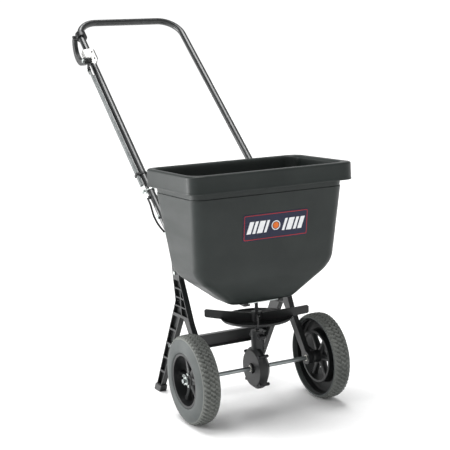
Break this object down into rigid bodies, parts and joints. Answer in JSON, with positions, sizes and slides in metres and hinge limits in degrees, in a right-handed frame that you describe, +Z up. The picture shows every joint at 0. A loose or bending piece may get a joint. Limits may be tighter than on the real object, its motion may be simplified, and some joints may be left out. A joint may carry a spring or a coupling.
{
  "type": "walk-behind broadcast spreader",
  "caption": "Walk-behind broadcast spreader with an open hopper, spinning impeller, two wheels, rear legs and a bent tube handle with a flow lever.",
  "frame": {"origin": "on the ground, at the middle of the machine's length and width", "axes": "+Z up, the front of the machine towards -Y, the handle towards +Y, +X to the right seen from the front"},
  "size_m": [0.509, 1.0154, 1.148],
  "materials": {
    "hopper_plastic": "moulded polyethylene, fine matte grain",
    "black_plastic": "moulded black plastic, satin",
    "painted_tube": "black powder coat, satin",
    "tyre": "dark grey moulded tread",
    "zinc_steel": "zinc plated",
    "dark_steel": "black oxide",
    "nylon": "natural nylon",
    "white_plastic": "white moulded plate",
    "label": "dark blue printed film with a red border",
    "cable_cover": "black cable cover"
  },
  "bodies": {
    "root": {"hopper": "hopper_plastic", "hopper_label": "label", "floor_bush": "nylon", "gate_rails": "black_plastic", "rail_screws": "zinc_steel", "gate_cable_bracket": "zinc_steel", "lower_cable_ferrule": "zinc_steel", "cable_conduit": "cable_cover", "upper_cable_ferrule": "zinc_steel", "upper_cable_bracket": "zinc_steel", "left_leg": "black_plastic", "right_leg": "black_plastic", "left_foot_cap": "black_plastic", "right_foot_cap": "black_plastic", "rear_crossbar": "painted_tube", "crossbar_bolts": "zinc_steel", "left_axle_bush": "nylon", "right_axle_bush": "nylon", "handle_bar": "painted_tube", "left_lower_tube": "painted_tube", "right_lower_tube": "painted_tube", "splice_bolts": "dark_steel", "leg_bolts": "zinc_steel", "handle_nuts": "zinc_steel", "hopper_bolts": "zinc_steel", "gearbox_left_case": "black_plastic", "gearbox_right_case": "black_plastic", "gearbox_screws": "zinc_steel", "gearbox_axle_bushes": "nylon", "upper_shaft_bush": "nylon", "lower_shaft_bush": "nylon", "lever_bracket": "black_plastic", "scale_plate": "white_plastic", "scale_screws": "dark_steel", "lever_pivot_bolt": "zinc_steel", "lever_catch": "black_plastic", "rod_guides": "black_plastic"},
    "drive_axle": {"axle": "zinc_steel", "left_tyre": "tyre", "left_hub": "black_plastic", "crown_gear": "nylon", "crown_gear_pin": "zinc_steel", "drive_pin": "zinc_steel", "axle_washers": "zinc_steel", "cotter_pins": "zinc_steel"},
    "free_wheel": {"right_tyre": "tyre", "right_hub": "black_plastic"},
    "spinner": {"impeller_shaft": "zinc_steel", "pinion": "nylon", "impeller": "black_plastic", "impeller_pin": "zinc_steel", "agitator": "nylon", "agitator_pin": "zinc_steel"},
    "rate_lever": {"flow_lever": "black_plastic", "crank_pin": "zinc_steel"},
    "rod": {"control_rod": "zinc_steel", "upper_wire": "zinc_steel"},
    "gate": {"gate_plate": "zinc_steel", "lower_wire": "zinc_steel"}
  },
  "joints": [
    {"name": "axle_spin", "type": "hinge", "parent": "root", "child": "drive_axle", "pos_m": [0, -0.36072, 0.127], "axis": [1, 0, 0], "continuous": true},
    {"name": "free_wheel_spin", "type": "hinge", "parent": "root", "child": "free_wheel", "pos_m": [0.209, -0.36072, 0.127], "axis": [1, 0, 0], "continuous": true},
    {"name": "spinner_spin", "type": "hinge", "parent": "root", "child": "spinner", "pos_m": [0, -0.36072, 0.25], "axis": [0, 0, 1], "continuous": true},
    {"name": "lever_swing", "type": "hinge", "parent": "root", "child": "rate_lever", "pos_m": [-0.205, 0.31727, 1.01324], "axis": [1, 0, 0], "range_deg": [0, 50]},
    {"name": "rod_slide", "type": "slide", "parent": "root", "child": "rod", "axis": [0, 0.7459, 0.666], "range_m": [0, 0.0255]},
    {"name": "gate_slide", "type": "slide", "parent": "root", "child": "gate", "axis": [0, 1, 0], "range_m": [0, 0.0255]}
  ],
  "couplings": [
    {"joint": "spinner_spin", "follows": "axle_spin", "ratio": 4},
    {"joint": "rod_slide", "follows": "lever_swing", "m_per_rad": 0.029106},
    {"joint": "gate_slide", "follows": "lever_swing", "m_per_rad": 0.029106}
  ]
}
